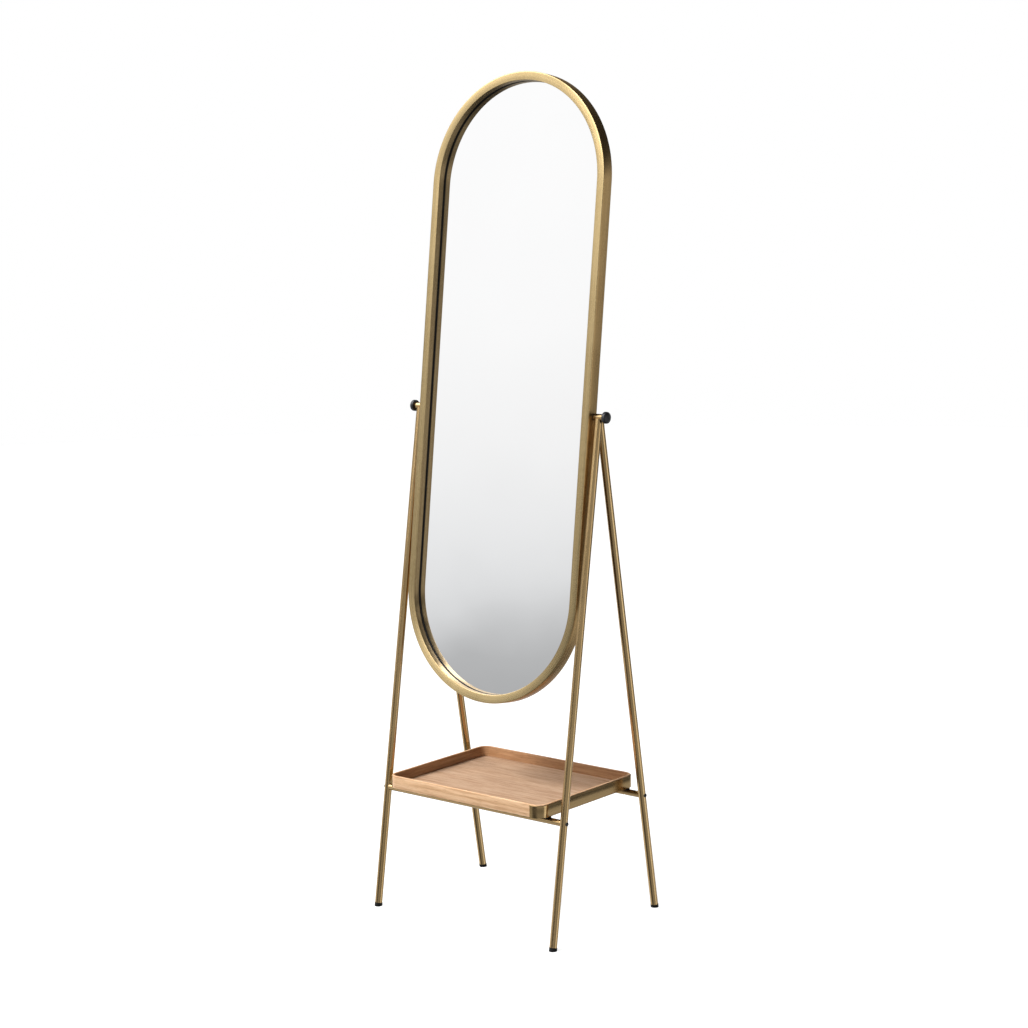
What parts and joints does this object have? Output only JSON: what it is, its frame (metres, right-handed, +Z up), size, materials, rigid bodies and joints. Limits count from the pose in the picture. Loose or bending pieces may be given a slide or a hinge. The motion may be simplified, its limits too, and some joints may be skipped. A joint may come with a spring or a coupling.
{
  "type": "cheval floor mirror",
  "caption": "Obround brass-framed floor mirror that tilts between two A-shaped tube frames, with a rectangular oak tray on crossbars below.",
  "frame": {"origin": "on the floor, midway between the four feet, under the middle of the mirror's pivot axis", "axes": "+X towards the viewer's right, -Y towards the viewer who looks into the mirror, +Z up"},
  "size_m": [0.4966, 0.3428, 1.653],
  "materials": {
    "brass_frame": "brushed, satin lacquer",
    "brass_tube": "satin",
    "brass_band": "brushed",
    "oak_floor": "matte lacquered oak veneer",
    "oak_rim": "matte lacquered oak",
    "mirror_glass": "polished silvered glass",
    "backing_board": "brown fibreboard",
    "black_plastic": "fine satin",
    "black_rubber": "matte",
    "black_metal": "black oxide",
    "steel": "zinc plated"
  },
  "bodies": {
    "stand": {"left_front_leg": "brass_tube", "left_rear_leg": "brass_tube", "right_front_leg": "brass_tube", "right_rear_leg": "brass_tube", "left_pivot_sleeve": "brass_tube", "right_pivot_sleeve": "brass_tube", "front_crossbar": "brass_tube", "rear_crossbar": "brass_tube", "crossbar_inserts": "steel", "crossbar_screws": "black_metal", "foot_caps": "black_rubber", "tray_floor": "oak_floor", "tray_rim": "oak_rim", "left_tray_band": "brass_band", "right_tray_band": "brass_band", "tray_saddles": "black_rubber", "tray_screws": "black_metal"},
    "mirror": {"mirror_frame": "brass_frame", "mirror_glass": "mirror_glass", "glass_gasket": "black_rubber", "backing_board": "backing_board", "back_clips": "steel", "left_pivot_insert": "steel", "right_pivot_insert": "steel", "left_friction_washer": "black_plastic", "right_friction_washer": "black_plastic"},
    "left_clamp": {"left_knob": "black_plastic", "left_pivot_stud": "steel"},
    "right_clamp": {"right_knob": "black_plastic", "right_pivot_stud": "steel"}
  },
  "joints": [
    {"name": "mirror_tilt", "type": "hinge", "parent": "stand", "child": "mirror", "pos_m": [0, 0, 1], "axis": [1, 0, 0], "continuous": true},
    {"name": "left_knob_turn", "type": "hinge", "parent": "mirror", "child": "left_clamp", "pos_m": [-0.24, 0, 1], "axis": [1, 0, 0], "range_deg": [0, 360]},
    {"name": "right_knob_turn", "type": "hinge", "parent": "mirror", "child": "right_clamp", "pos_m": [0.24, 0, 1], "axis": [1, 0, 0], "range_deg": [0, 360]}
  ]
}
